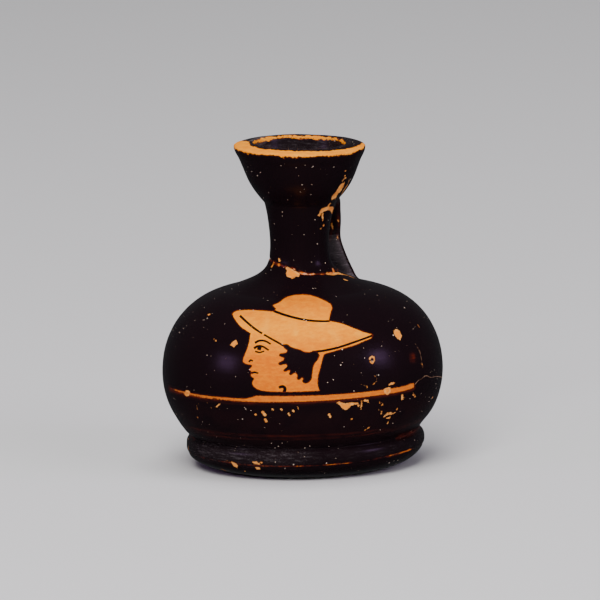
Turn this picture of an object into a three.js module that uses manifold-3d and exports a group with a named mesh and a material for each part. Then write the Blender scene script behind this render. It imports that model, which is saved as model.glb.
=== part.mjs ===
// A squat lekythos: a small oil flask of fired clay with a ring foot, a broad body, a narrow neck,
// a flaring mouth and one strap handle. It is hollow and empty, and it is a single solid.
// Sizes are in millimetres, +Z is up, the foot rests at height zero and the handle points along +Y.

import * as THREE from 'three';
import { mergeVertices } from 'three/addons/utils/BufferGeometryUtils.js';
import Module from 'manifold-3d';

const wasm = await Module();
wasm.setup();

// Heights, stacked from the table up: the neck takes what the others leave of the total
const TOTAL_HEIGHT = 86.0;
const FOOT_HEIGHT = 9.0;
const BELLY_RISE = 16.4;
const UPPER_BODY_RISE = 21.76;
const SHOULDER_RISE = 8.7;
const CUP_SEAT_RISE = 0.5;
const CUP_HEIGHT = 11.68;
const LIP_HEIGHT = 3.32;
const LIP_RISE = 1.0;

// Radii of the outside
const RESTING_RING_RADIUS = 23.0;
const FOOT_RADIUS = 31.5;
const FOOT_JOINT_RADIUS = 30.6;
const BELLY_RADIUS = 37.1;
const SHOULDER_RADIUS = 19.3;
const NECK_ROOT_RADIUS = 7.95;
const NECK_TOP_RADIUS = 9.42;
const CUP_SEAT_RADIUS = 9.6;
const CUP_RADIUS = 16.21;
const LIP_RADIUS = 17.4;

// Walls, floor and the flat lip
const BODY_WALL = 3.0;
const NECK_WALL = 2.8;
const LIP_WIDTH = 4.9;
const FLOOR_THICKNESS = 4.2;
const RESTING_RING_WIDTH = 5.5;
const RECESS_DEPTH = 3.6;
const RECESS_SLOPE_WIDTH = 1.4;

// Strap handle
const HANDLE_WIDTH = 12.0;
const HANDLE_THICKNESS = 4.0;
const HANDLE_GAP = 5.4;
const HANDLE_TOP_DROP = 0.9;
const HANDLE_ARCH = 0.8;
const HANDLE_SHOULDER_INSET = 1.6;
const HANDLE_SHOULDER_DROP = 1.2;
const HANDLE_BEND_DROP = 4.4;
const HANDLE_START_RADIUS = 1.5;
const HANDLE_ROOT_RADIUS = 23.6;
const HANDLE_ROOT_FLARE = 1.2;

// Fineness of the facets
const TURN_STEPS = 60;
const HANDLE_STEPS = 18;
const HANDLE_CORNER_STEPS = 5;

// Heights of the main joints, added up from the stack
const bellyHeight = FOOT_HEIGHT + BELLY_RISE;
const shoulderHeight = bellyHeight + UPPER_BODY_RISE;
const neckRootHeight = shoulderHeight + SHOULDER_RISE;
const lipEdgeHeight = TOTAL_HEIGHT - LIP_RISE;
const cupHeight = lipEdgeHeight - LIP_HEIGHT;
const cupSeatHeight = cupHeight - CUP_HEIGHT;
const neckTopHeight = cupSeatHeight - CUP_SEAT_RISE;
const neckLength = neckTopHeight - neckRootHeight;

// Joints of the outline as radius and height
const restingEdge = [RESTING_RING_RADIUS, 0];
const footWidest = [FOOT_RADIUS, FOOT_HEIGHT * 0.81];
const footJoint = [FOOT_JOINT_RADIUS, FOOT_HEIGHT];
const belly = [BELLY_RADIUS, bellyHeight];
const shoulder = [SHOULDER_RADIUS, shoulderHeight];
const neckRoot = [NECK_ROOT_RADIUS, neckRootHeight];
const neckTop = [NECK_TOP_RADIUS, neckTopHeight];
const cupSeat = [CUP_SEAT_RADIUS, cupSeatHeight];
const cupTop = [CUP_RADIUS, cupHeight];
const lipEdge = [LIP_RADIUS, lipEdgeHeight];
const lipRidge = [LIP_RADIUS - LIP_WIDTH, TOTAL_HEIGHT];

// A point that lies a share of the way across and a share of the way up between two joints
function between(start, end, acrossShare, upShare) {
  return [
    start[0] + (end[0] - start[0]) * acrossShare,
    start[1] + (end[1] - start[1]) * upShare,
  ];
}

// Points along a smooth curve from one joint towards the next, pulled by two more points
function bend(start, firstPull, secondPull, end, steps) {
  const curve = new THREE.CubicBezierCurve(
    new THREE.Vector2(...start),
    new THREE.Vector2(...firstPull),
    new THREE.Vector2(...secondPull),
    new THREE.Vector2(...end),
  );
  return curve.getPoints(steps).slice(0, steps).map((point) => [point.x, point.y]);
}

// The outline moved inwards, square to itself, by a depth
function inset(line, depth) {
  return line.map((point, index) => {
    const before = line[Math.max(index - 1, 0)];
    const after = line[Math.min(index + 1, line.length - 1)];
    const across = after[0] - before[0];
    const up = after[1] - before[1];
    const length = Math.hypot(across, up);
    return [point[0] - (depth * up) / length, point[1] + (depth * across) / length];
  });
}

// Foot: a rounded ring that draws in to the flat it rests on, then a short step in to the body
const footLine = [
  ...bend(
    restingEdge,
    between(restingEdge, footWidest, 0.42, 0.12),
    between(restingEdge, footWidest, 1, 0.33),
    footWidest,
    6,
  ),
  ...bend(
    footWidest,
    between(footWidest, footJoint, 0, 0.5),
    between(footWidest, footJoint, 0.4, 0.8),
    footJoint,
    3,
  ),
];

// Body: fullest at the belly, then drawn in over the shoulder to the foot of the neck
const lowerBodyLine = bend(
  footJoint,
  between(footJoint, belly, 0.28, 0.16),
  between(footJoint, belly, 1, 0.425),
  belly,
  7,
);
const upperBodyLine = bend(
  belly,
  between(belly, shoulder, 0, 0.28),
  between(belly, shoulder, 0.154, 0.855),
  shoulder,
  9,
);
const shoulderLine = bend(
  shoulder,
  between(shoulder, neckRoot, 0.667, 0.315),
  between(shoulder, neckRoot, 0.96, 0.48),
  neckRoot,
  6,
);

// Neck: slightly waisted, with a small crease where the cup is set on it
const neckLine = bend(
  neckRoot,
  [NECK_ROOT_RADIUS * 0.93, neckRootHeight + neckLength * 0.345],
  between(neckTop, neckRoot, 0.714, 0.257),
  neckTop,
  4,
);

// Mouth: a flaring cup with a rounded rim and a flat lip that climbs to its inner edge
const cupLine = bend(
  cupSeat,
  between(cupSeat, cupTop, 0.68, 0.42),
  between(cupSeat, cupTop, 0.69, 0.59),
  cupTop,
  4,
);
const lipLine = bend(
  cupTop,
  between(cupTop, lipEdge, 0.5, 0.35),
  between(cupTop, lipEdge, 1, 0.6),
  lipEdge,
  3,
);
const rimLine = [
  lipEdge,
  between(lipEdge, lipRidge, 0.09, 0.3),
  lipRidge,
];

// Inside: a funnel down to the bore, then the body hollowed to an even wall and a gently dished floor
const boreRadius = NECK_ROOT_RADIUS - NECK_WALL;
const funnelEnd = [NECK_TOP_RADIUS - NECK_WALL - 0.6, neckTopHeight - NECK_WALL * 0.5];
const boreEnd = [boreRadius, neckRootHeight];
const funnelLine = bend(
  [lipRidge[0] - 0.5, lipRidge[1] - 0.5],
  [lipRidge[0] - 1, cupHeight - CUP_HEIGHT * 0.3],
  [funnelEnd[0] + 0.4, cupSeatHeight + CUP_HEIGHT * 0.3],
  funnelEnd,
  3,
);
const boreLine = [funnelEnd, [boreRadius, neckRootHeight + neckLength * 0.5]];
const everyOther = (point, index) => index % 2 === 0;
const roofLine = [
  boreEnd,
  ...inset([...shoulderLine, neckRoot], BODY_WALL).slice(1, -2).reverse().filter(everyOther),
];
const wallLine = inset([...lowerBodyLine, ...upperBodyLine, shoulder], BODY_WALL)
  .slice(0, -1)
  .filter(everyOther)
  .reverse();
const floorHeight = RECESS_DEPTH + FLOOR_THICKNESS;
const floorEdge = wallLine[wallLine.length - 1];
const floorLine = [
  [floorEdge[0] * 0.9, floorHeight + (floorEdge[1] - floorHeight) * 0.45],
  [floorEdge[0] * 0.6, floorHeight + (floorEdge[1] - floorHeight) * 0.08],
  [0, floorHeight],
];

// Underside: a shallow recess within the resting ring
const recessRadius = RESTING_RING_RADIUS - RESTING_RING_WIDTH;
const undersideLine = [
  [0, RECESS_DEPTH],
  [recessRadius - RECESS_SLOPE_WIDTH * 2, RECESS_DEPTH * 0.94],
  [recessRadius - RECESS_SLOPE_WIDTH, RECESS_DEPTH * 0.7],
  [recessRadius, 0],
];

// Turn an outline into a closed solid: the outline starts and ends on the axis
function turned(outline) {
  const points = outline.map(([radius, height]) => new THREE.Vector2(radius, height));
  const geometry = new THREE.LatheGeometry(points, TURN_STEPS);
  geometry.rotateX(Math.PI / 2);
  return solidOf(geometry);
}

// Weld a geometry and hand it over as a closed solid
function solidOf(geometry) {
  geometry.deleteAttribute('normal');
  geometry.deleteAttribute('uv');
  const welded = mergeVertices(geometry, 1e-4);
  const mesh = new wasm.Mesh({
    numProp: 3,
    vertProperties: new Float32Array(welded.attributes.position.array),
    triVerts: new Uint32Array(welded.index.array),
  });
  mesh.merge();
  return new wasm.Manifold(mesh);
}

const outsideLine = [
  ...lowerBodyLine,
  ...upperBodyLine,
  ...shoulderLine,
  ...neckLine,
  ...cupLine,
  cupTop,
];
const vessel = turned([
  ...undersideLine,
  ...footLine,
  ...lowerBodyLine,
  ...upperBodyLine,
  ...shoulderLine,
  ...neckLine,
  ...cupLine,
  ...lipLine,
  ...rimLine,
  ...funnelLine,
  ...boreLine,
  ...roofLine,
  ...wallLine,
  ...floorLine,
]);

// Height of the shoulder's surface at a radius
function shoulderHeightAt(radius) {
  const line = [...upperBodyLine, ...shoulderLine];
  const index = line.findIndex((point, place) => place > 0 && point[0] <= radius);
  const outer = line[index - 1];
  const inner = line[index];
  const share = (outer[0] - radius) / (outer[0] - inner[0]);
  return outer[1] + (inner[1] - outer[1]) * share;
}

// Handle: a strap that leaves the neck just under the cup, drops beside it and spreads on the shoulder
const handleReach = NECK_ROOT_RADIUS + HANDLE_GAP + HANDLE_THICKNESS / 2;
const handleTop = cupSeatHeight - HANDLE_TOP_DROP;
const handleRootHeight = shoulderHeightAt(HANDLE_ROOT_RADIUS);
const handleDropEnd = handleRootHeight + (handleTop - handleRootHeight) * 0.5;
const handlePath = new THREE.CatmullRomCurve3([
  new THREE.Vector3(0, HANDLE_START_RADIUS, handleTop - HANDLE_ARCH),
  new THREE.Vector3(0, NECK_TOP_RADIUS, handleTop),
  new THREE.Vector3(0, handleReach - HANDLE_SHOULDER_INSET, handleTop - HANDLE_SHOULDER_DROP),
  new THREE.Vector3(0, handleReach, handleTop - HANDLE_BEND_DROP),
  new THREE.Vector3(0, handleReach, handleDropEnd),
  new THREE.Vector3(
    0,
    handleReach + (HANDLE_ROOT_RADIUS - handleReach) * 0.5,
    handleRootHeight + (handleDropEnd - handleRootHeight) * 0.38,
  ),
  new THREE.Vector3(0, HANDLE_ROOT_RADIUS, handleRootHeight),
  new THREE.Vector3(0, HANDLE_ROOT_RADIUS + BODY_WALL * 0.8, handleRootHeight - BODY_WALL * 1.3),
], false, 'centripetal');

// Section of the strap: flat faces with well rounded edges
const edgeRadius = HANDLE_THICKNESS * 0.42;
const halfWidth = HANDLE_WIDTH / 2 - edgeRadius;
const halfThickness = HANDLE_THICKNESS / 2 - edgeRadius;
const strapPoints = [];
for (const [sideX, sideY, firstAngle] of [[1, 1, 0], [-1, 1, 90], [-1, -1, 180], [1, -1, 270]]) {
  for (let step = 0; step < HANDLE_CORNER_STEPS; step += 1) {
    const angle = THREE.MathUtils.degToRad(firstAngle + (90 * step) / (HANDLE_CORNER_STEPS - 1));
    strapPoints.push(new THREE.Vector2(
      sideX * halfWidth + Math.cos(angle) * edgeRadius,
      sideY * halfThickness + Math.sin(angle) * edgeRadius,
    ));
  }
}
const strapGeometry = new THREE.ExtrudeGeometry(new THREE.Shape(strapPoints), {
  steps: HANDLE_STEPS,
  extrudePath: handlePath,
  bevelEnabled: false,
});

// Spread the strap towards its root
const spreadStart = handleDropEnd;
const strapPlaces = strapGeometry.attributes.position;
for (let index = 0; index < strapPlaces.count; index += 1) {
  const share = THREE.MathUtils.clamp(
    (spreadStart - strapPlaces.getZ(index)) / (spreadStart - handleRootHeight),
    0,
    1.2,
  );
  const spread = 1 + (HANDLE_ROOT_FLARE * 2 * share * share) / HANDLE_WIDTH;
  strapPlaces.setX(index, strapPlaces.getX(index) * spread);
}

// The handle stops half way into the wall, so that it never shows inside the flask
const core = turned([
  [0, floorHeight],
  ...inset(outsideLine, Math.min(BODY_WALL, NECK_WALL) / 2),
  [0, cupHeight],
]);
const handle = solidOf(strapGeometry).subtract(core);
const whole = vessel.add(handle);

// The finished solid as a three.js mesh
function geometryOf(solid) {
  const mesh = solid.getMesh();
  const geometry = new THREE.BufferGeometry();
  geometry.setAttribute('position', new THREE.BufferAttribute(mesh.vertProperties, 3));
  geometry.setIndex(new THREE.BufferAttribute(mesh.triVerts, 1));
  geometry.computeVertexNormals();
  return geometry;
}

const glazedClay = new THREE.MeshStandardMaterial({ color: 0x1d1418, roughness: 0.32, metalness: 0 });
const lekythos = new THREE.Mesh(geometryOf(whole), glazedClay);
lekythos.name = 'lekythos';

const flask = new THREE.Group();
flask.name = 'squat_lekythos';
flask.add(lekythos);

export default flask;
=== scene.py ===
# %% [markdown]
# # A squat lekythos
#
# This lesson builds a small oil flask of fired clay: a ring foot, a broad rounded body, a narrow
# neck, a flaring mouth and one strap handle. It is covered in a lustrous black slip, and the pale
# clay was left bare, or "reserved", where the painter drew a head in a broad travelling hat, the
# ground line under it and the flat top of the lip.
#
# The frame comes first: it holds the same flask as a plain solid, and it tells the size and place
# that the finished piece must keep.

# %% Load the frame
import functools
import math
import bpy
import numpy as np
from mathutils import Matrix


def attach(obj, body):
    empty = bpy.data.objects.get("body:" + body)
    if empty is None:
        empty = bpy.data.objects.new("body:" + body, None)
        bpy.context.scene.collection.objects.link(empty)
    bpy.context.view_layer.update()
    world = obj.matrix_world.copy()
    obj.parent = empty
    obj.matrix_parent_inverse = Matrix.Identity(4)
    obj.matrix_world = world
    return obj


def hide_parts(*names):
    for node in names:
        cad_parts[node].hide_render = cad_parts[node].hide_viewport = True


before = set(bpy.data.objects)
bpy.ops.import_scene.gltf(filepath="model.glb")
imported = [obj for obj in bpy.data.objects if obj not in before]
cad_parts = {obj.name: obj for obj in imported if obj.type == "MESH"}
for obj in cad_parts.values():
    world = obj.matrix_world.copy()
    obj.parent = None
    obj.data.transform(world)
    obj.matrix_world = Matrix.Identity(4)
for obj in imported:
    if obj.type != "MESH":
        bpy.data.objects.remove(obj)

for name in ("Cube", "Light", "Camera"):
    if name in bpy.data.objects:
        bpy.data.objects.remove(bpy.data.objects[name])
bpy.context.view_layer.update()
MM = 0.001


def placed(name, data):
    """A new object of this name and data, linked into the scene."""
    thing = bpy.data.objects.new(name, data)
    bpy.context.scene.collection.objects.link(thing)
    return thing


# %% [markdown]
# ## The outline
#
# A wheel-thrown pot is a profile turned about an axis. The profile here is a chain of short cubic
# curves between named joints: foot, belly, shoulder, neck, cup and lip. Most of these sizes, in
# millimetres, are the plain solid's own. The foot and the strap were fitted more closely here, and
# differ from the solid's by up to about one millimetre.

# %% Sizes of the flask, in millimetres
TOTAL_HEIGHT, FOOT_HEIGHT, BELLY_HEIGHT = 86.0, 8.6, 25.4
SHOULDER_HEIGHT, NECK_ROOT_HEIGHT = 47.16, 55.86
NECK_TOP_HEIGHT, CUP_SEAT_HEIGHT, CUP_TOP_HEIGHT, LIP_EDGE_HEIGHT = 69.5, 70.0, 81.68, 85.0
RING_RADIUS, FOOT_RADIUS, FOOT_JOINT_RADIUS, BELLY_RADIUS = 23.0, 31.6, 30.1, 37.1
SHOULDER_RADIUS, NECK_ROOT_RADIUS, NECK_TOP_RADIUS = 19.3, 7.95, 9.42
CUP_SEAT_RADIUS, CUP_TOP_RADIUS, LIP_RADIUS, LIP_WIDTH = 9.6, 16.21, 17.4, 4.9
WALL, NECK_WALL, RECESS_DEPTH, FLOOR_THICKNESS, RING_WIDTH = 3.0, 2.8, 3.6, 4.2, 5.5
RIDGE_RADIUS = LIP_RADIUS - LIP_WIDTH
BORE_RADIUS, BORE_TOP_HEIGHT = NECK_ROOT_RADIUS - NECK_WALL, 62.7
ON_AXIS = 0.001
print("sizes for a flask", TOTAL_HEIGHT, "mm high and", 2 * BELLY_RADIUS, "mm wide")


# %% Three ways to shape a number
def ramp(value, start, end):
    """0 up to start, 1 from end on, and (value - start) / (end - start) between them."""
    return np.clip((value - start) / (end - start), 0, 1)


def ease(share):
    """A share with both its ends smoothed: 3 times its square less 2 times its cube."""
    return share * share * (3 - 2 * share)


def bell(offset, width):
    """A soft bump: e to the power of minus the square of offset over width."""
    return np.exp(-(offset / width) ** 2)


print("half way along a ramp:", ease(ramp(5.0, 0, 10)))


# %% Curves between the joints
def between(start, end, across, up):
    """The point a share of the way across and a share of the way up from start to end."""
    return start[0] + (end[0] - start[0]) * across, start[1] + (end[1] - start[1]) * up


def bend(start, pull_a, pull_b, end, count=40):
    """A cubic curve: the four points weighted by (1-t)^3, 3t(1-t)^2, 3t^2(1-t) and t^3."""
    t = np.linspace(0, 1, count)[:, None]
    a, b, c, d = (np.array(p, float) for p in (start, pull_a, pull_b, end))
    return (1 - t) ** 3 * a + 3 * t * (1 - t) ** 2 * b + 3 * t * t * (1 - t) * c + t ** 3 * d


def chain(*lines):
    """Lines laid end to end, with the points that repeat left out."""
    joined = np.vstack([np.array(line, float) for line in lines])
    step = np.hypot(*np.diff(joined, axis=0).T)
    return joined[np.r_[True, step > 1e-6]]


def run_of(line):
    """The way a line runs at each point: the slope between its neighbours, brought to length one."""
    run = np.gradient(line, axis=0)
    return run / np.hypot(run[:, 0], run[:, 1])[:, None]


def inset(line, depth):
    """The line moved inwards, square to itself: each point less depth times its outward normal."""
    run = run_of(line)
    return line + depth * np.c_[-run[:, 1], run[:, 0]]


def pairs(numbers):
    """A flat list x, y, x, y and so on as rows of two."""
    return np.array(numbers, float).reshape(-1, 2)


# %% The outside, from the resting ring up to the lip
ring_edge, foot_widest = (RING_RADIUS, 0.0), (FOOT_RADIUS, FOOT_HEIGHT * 0.72)
foot_joint, belly = (FOOT_JOINT_RADIUS, FOOT_HEIGHT), (BELLY_RADIUS, BELLY_HEIGHT)
shoulder, neck_root = (SHOULDER_RADIUS, SHOULDER_HEIGHT), (NECK_ROOT_RADIUS, NECK_ROOT_HEIGHT)
neck_top, cup_seat = (NECK_TOP_RADIUS, NECK_TOP_HEIGHT), (CUP_SEAT_RADIUS, CUP_SEAT_HEIGHT)
cup_top, lip_edge = (CUP_TOP_RADIUS, CUP_TOP_HEIGHT), (LIP_RADIUS, LIP_EDGE_HEIGHT)
ridge = (RIDGE_RADIUS, TOTAL_HEIGHT)

foot_line = chain(
    bend(ring_edge, between(ring_edge, foot_widest, 0.42, 0.12),
         between(ring_edge, foot_widest, 1, 0.33), foot_widest),
    bend(foot_widest, between(foot_widest, foot_joint, 0, 0.6),
         between(foot_widest, foot_joint, 0.35, 0.95), foot_joint, 14))
lower_body = bend(foot_joint, between(foot_joint, belly, 0.28, 0.16),
                  between(foot_joint, belly, 1, 0.425), belly, 60)
upper_body = bend(belly, between(belly, shoulder, 0, 0.28),
                  between(belly, shoulder, 0.154, 0.855), shoulder, 80)
shoulder_line = bend(shoulder, between(shoulder, neck_root, 0.667, 0.315),
                     between(shoulder, neck_root, 0.96, 0.48), neck_root, 60)
neck_rise = NECK_TOP_HEIGHT - NECK_ROOT_HEIGHT
neck_line = bend(neck_root, (NECK_ROOT_RADIUS * 0.93, NECK_ROOT_HEIGHT + 0.345 * neck_rise),
                 between(neck_top, neck_root, 0.714, 0.257), neck_top)
cup_line = bend(cup_seat, between(cup_seat, cup_top, 0.68, 0.42),
                between(cup_seat, cup_top, 0.69, 0.59), cup_top)
lip_line = bend(cup_top, between(cup_top, lip_edge, 0.5, 0.35),
                between(cup_top, lip_edge, 1, 0.6), between(cup_top, lip_edge, 1, 0.88), 14)
rim_line = chain(
    bend(lip_line[-1], lip_edge, lip_edge, between(lip_edge, ridge, 0.12, 0.2), 8),
    bend(between(lip_edge, ridge, 0.88, 0.88), between(ridge, lip_edge, 0.02, 0.0),
         between(ridge, lip_edge, 0.0, 0.1), (RIDGE_RADIUS - 0.25, TOTAL_HEIGHT - 0.25), 8))
outside = chain(foot_line, lower_body, upper_body, shoulder_line, neck_line, cup_line, lip_line)
upward = outside[np.argsort(outside[:, 1])]


def wall_radius(height, beyond=None):
    """The outline's radius at a height, read between its points."""
    return np.interp(height, upward[:, 1], upward[:, 0], left=beyond, right=beyond)


print("outside line has", len(outside), "points, widest", round(outside[:, 0].max(), 2), "mm")

# %% The inside and the underside
funnel_end = (NECK_TOP_RADIUS - NECK_WALL - 0.6, NECK_TOP_HEIGHT - NECK_WALL / 2)
funnel = bend((RIDGE_RADIUS - 0.5, TOTAL_HEIGHT - 0.7), (RIDGE_RADIUS - 1, CUP_TOP_HEIGHT - 3.5),
              (funnel_end[0] + 0.4, CUP_SEAT_HEIGHT + 3.5), funnel_end, 16)
bore = np.array([(BORE_RADIUS, BORE_TOP_HEIGHT), (BORE_RADIUS, NECK_ROOT_HEIGHT)])
roof = inset(shoulder_line, WALL)[10:-8][::-1][::8]
hollow = inset(chain(lower_body, upper_body), WALL)[1:-4][::-1][::9]
floor_height = RECESS_DEPTH + FLOOR_THICKNESS
floor_edge = hollow[-1]
dish = np.array([(floor_edge[0] * k, floor_height + (floor_edge[1] - floor_height) * rise)
                 for k, rise in ((0.9, 0.45), (0.6, 0.08), (0.3, 0.02), (ON_AXIS, 0.0))])
recess_radius = RING_RADIUS - RING_WIDTH
underside = chain([(ON_AXIS, RECESS_DEPTH), (recess_radius * 0.5, RECESS_DEPTH * 0.98)],
                  bend((recess_radius - 2.8, RECESS_DEPTH * 0.94), (recess_radius - 1.5, RECESS_DEPTH * 0.9),
                       (recess_radius - 1.0, 0.6), (recess_radius - 0.2, 0.1), 10),
                  [(recess_radius + 0.3, 0.0), (RING_RADIUS - 0.4, 0.0)])
print("the hollow reaches from", floor_height, "mm up to the bore at", NECK_ROOT_HEIGHT, "mm")


# %% Spread the points evenly along the line
def even(line, spacing):
    """The line walked at an even pace: its points interpolated at equal steps of its length."""
    length = np.r_[0, np.cumsum(np.hypot(*np.diff(line, axis=0).T))]
    places = np.linspace(0, length[-1], max(int(round(length[-1] / spacing)), 2) + 1)
    return np.c_[np.interp(places, length, line[:, 0]), np.interp(places, length, line[:, 1])]


profile = chain(underside, even(foot_line, 0.55), even(lower_body, 0.6), even(upper_body, 0.28),
                even(shoulder_line, 0.36), even(neck_line, 0.75), even(cup_line, 0.75),
                even(lip_line, 0.45), even(rim_line, 0.33), funnel, bore, roof, hollow, dish)
print("profile of", len(profile), "points")

# %% [markdown]
# ## The camera
#
# The picture was taken with a long lens from a little above, and the flask leans by about one
# degree in it. Setting the camera up now gives a way to say where a painted line goes: as a place
# in the 600 by 600 view, which is then laid on the flask.

# %% Camera
VIEW_PIXELS = 600
MM_PER_PIXEL = 0.2649
VIEW_TURN, VIEW_RISE, VIEW_ROLL = math.radians(20.0), math.radians(9.0), math.radians(1.3)
VIEW_DISTANCE = 3000.0
BASE_PIXEL = (304.7, 462.6)
SENSOR_WIDTH, CLIP_END = 36.0, 50.0

to_camera = np.array((math.sin(VIEW_TURN) * math.cos(VIEW_RISE),
                      -math.cos(VIEW_TURN) * math.cos(VIEW_RISE), math.sin(VIEW_RISE)))
level_right = np.array((math.cos(VIEW_TURN), math.sin(VIEW_TURN), 0.0))
level_up = np.cross(to_camera, level_right)
view_right = math.cos(VIEW_ROLL) * level_right - math.sin(VIEW_ROLL) * level_up
view_up = math.sin(VIEW_ROLL) * level_right + math.cos(VIEW_ROLL) * level_up
aim = ((VIEW_PIXELS / 2 - BASE_PIXEL[0]) * view_right
       + (BASE_PIXEL[1] - VIEW_PIXELS / 2) * view_up) * MM_PER_PIXEL
eye = aim + VIEW_DISTANCE * to_camera


def stood(right, up, back, middle):
    """The table that places an object: its three directions and its middle, side by side."""
    return Matrix(np.c_[right, up, back, middle].tolist() + [[0, 0, 0, 1]])


camera_data = bpy.data.cameras.new("camera")
camera_data.sensor_width = SENSOR_WIDTH
camera_data.lens = SENSOR_WIDTH * VIEW_DISTANCE / (VIEW_PIXELS * MM_PER_PIXEL)
camera_data.clip_end = CLIP_END
camera = placed("camera", camera_data)
camera.matrix_world = stood(view_right, view_up, to_camera, eye * MM)
bpy.context.scene.camera = camera
print("camera", [round(v * MM, 3) for v in eye], "lens", round(camera_data.lens, 1))


# %% From the flask to the view and back
def seen(points):
    """Where points of the flask show in the view: offsets from the eye over their depth, in pixels."""
    offset = points - eye
    depth = -(offset @ to_camera)
    scale = VIEW_DISTANCE / MM_PER_PIXEL / depth
    return np.c_[VIEW_PIXELS / 2 + (offset @ view_right) * scale, VIEW_PIXELS / 2 - (offset @ view_up) * scale]


# Foot and mouth sit a little to the side of the body's axis, as on many hand-finished pots.
# Each of these pairs of heights is where a ramp starts and ends.
FOOT_SHIFT, MOUTH_SHIFT = 0.4, 0.5
FOOT_SHIFT_RAMP, MOUTH_SHIFT_RAMP = (11, 6), (62, 74)


def drift(height):
    """How far the axis has moved along the view's right: two smooth steps, at foot and mouth."""
    return (FOOT_SHIFT * ease(ramp(height, *FOOT_SHIFT_RAMP))
            + MOUTH_SHIFT * ease(ramp(height, *MOUTH_SHIFT_RAMP)))


# Nor are they quite level: their rings slope to the view's right, and the mouth's away from it too
FOOT_LEAN, MOUTH_LEAN, MOUTH_TIP = 0.0135, -0.0227, 0.013
FOOT_LEAN_IN, FOOT_LEAN_OUT, MOUTH_LEAN_RAMP = (0, 4), (15, 10), (68, 81)
level_back = np.array((-level_right[1], level_right[0], 0.0))


def lift(points, height):
    """How much the level rings rise: the distance to the right, and away, times its slope, with the
    foot's slopes and the mouth's eased in and out over the height."""
    right, back = points @ level_right, points @ level_back
    foot = ease(ramp(height, *FOOT_LEAN_IN) * ramp(height, *FOOT_LEAN_OUT))
    return FOOT_LEAN * foot * right + ease(ramp(height, *MOUTH_LEAN_RAMP)) * (MOUTH_LEAN * right + MOUTH_TIP * back)


# Sight lines are walked from a little before the flask to a little beyond its axis
SIGHT_BEFORE, SIGHT_BEYOND, SIGHT_STEPS = 60, 12, 3600


def on_flask(pixels):
    """The points of the outside that show at these pixels: the first place along each sight line
    where the distance from the axis falls below the outline's radius."""
    spread = MM_PER_PIXEL / VIEW_DISTANCE
    ways = (-to_camera + (pixels[:, :1] - VIEW_PIXELS / 2) * spread * view_right
            - (pixels[:, 1:] - VIEW_PIXELS / 2) * spread * view_up)
    steps = np.linspace(VIEW_DISTANCE - SIGHT_BEFORE, VIEW_DISTANCE + SIGHT_BEYOND, SIGHT_STEPS)
    walk = eye + ways[:, None, :] * steps[None, :, None]
    radius = wall_radius(walk[..., 2], beyond=0)
    centre = drift(walk[..., 2])[..., None] * level_right
    reach = np.hypot(*(walk - centre)[..., :2].transpose(2, 0, 1))
    first = np.argmax(reach < radius, axis=1)
    return walk[np.arange(len(walk)), first]


print("middle of the picture lies at", on_flask(pairs([302, 360]))[0].round(2))

# %% [markdown]
# ## The thrown body
#
# The body is a grid of two parameters: the place along the profile and the turn about the axis.
# The turns lie closer together at the front, where the picture is. Small departures make it a
# handmade thing: the wall wanders by about a tenth of a millimetre, the wheel has left faint rings,
# a groove marks the line where the foot was turned, and foot and mouth aren't quite level.

# %% Turns about the axis
PICTURE_EDGE, SIDE_EDGE = 33, 84
picture_turns = np.arange(-PICTURE_EDGE, PICTURE_EDGE, 0.4)
side_turns = np.r_[np.arange(PICTURE_EDGE, SIDE_EDGE, 1.7), np.arange(360 - SIDE_EDGE, 360 - PICTURE_EDGE, 1.7)]
back_turns = np.arange(SIDE_EDGE, 360 - SIDE_EDGE, 4.0)
turns = np.radians(np.sort(np.r_[picture_turns, side_turns, back_turns])) + VIEW_TURN
print(len(turns), "turns by", len(profile), "points")


def waves(turn, height):
    """The wander of a handmade wall, in millimetres: slow waves round and up, and fine wheel rings."""
    slow = (0.07 * np.sin(2 * turn + 0.09 * height + 0.6) + 0.05 * np.sin(3 * turn - 0.13 * height)
            + 0.035 * np.sin(5 * turn + 0.21 * height + 2.0) + 0.02 * np.sin(9 * turn - 0.35 * height))
    rings = 0.004 * np.sin(2.6 * height + 0.4 * np.sin(turn)) + 0.002 * np.sin(4.3 * height + 1.0)
    return slow + rings


# %% Build the grid
def grid_faces(rows, columns):
    """Quads of a grid that closes on itself round the columns, wound so that they face outwards."""
    r, c = np.meshgrid(np.arange(rows - 1), np.arange(columns), indexing="ij")
    n = (c + 1) % columns
    corners = [r * columns + c, r * columns + n, (r + 1) * columns + n, (r + 1) * columns + c]
    return np.stack(corners, -1).reshape(-1, 4)


def turned(line, angles):
    """Profile (radius, height) at angle a becomes (radius sin a, -radius cos a, height)."""
    r, z = line[:, 0][:, None], line[:, 1][:, None]
    return np.stack([r * np.sin(angles), -r * np.cos(angles), z + 0 * angles], -1)


grid = turned(profile, turns)
along = run_of(profile)
outward = np.c_[along[:, 1], -along[:, 0]]
height_row = profile[:, 1][:, None] + 0 * turns
inner_count = sum(len(line) for line in (funnel, bore, roof, hollow, dish))
outer_rows = np.arange(len(profile)) < len(profile) - inner_count
free = (outer_rows & (profile[:, 1] > 1.5)).astype(float)[:, None]
print("grid", grid.shape)

# %% The turned groove near the foot's edge
GROOVE_HEIGHT, GROOVE_WIDTH, GROOVE_DEPTH = 4.4, 0.35, 0.16
FOOT_SIDE_RADIUS = 26
groove = GROOVE_DEPTH * bell(height_row - GROOVE_HEIGHT, GROOVE_WIDTH) * (profile[:, 0] > FOOT_SIDE_RADIUS)[:, None]
print("groove", round(float(groove.max()), 2), "mm deep at", GROOVE_HEIGHT, "mm up")

# %% [markdown]
# ## The mended neck
#
# The neck was once broken off and set back on. A thin seam runs round its root, filled with clay
# that shows pale, with a larger flake in front. The seam is a shallow groove cut into the grid,
# and its distance also drives the colour later.

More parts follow.
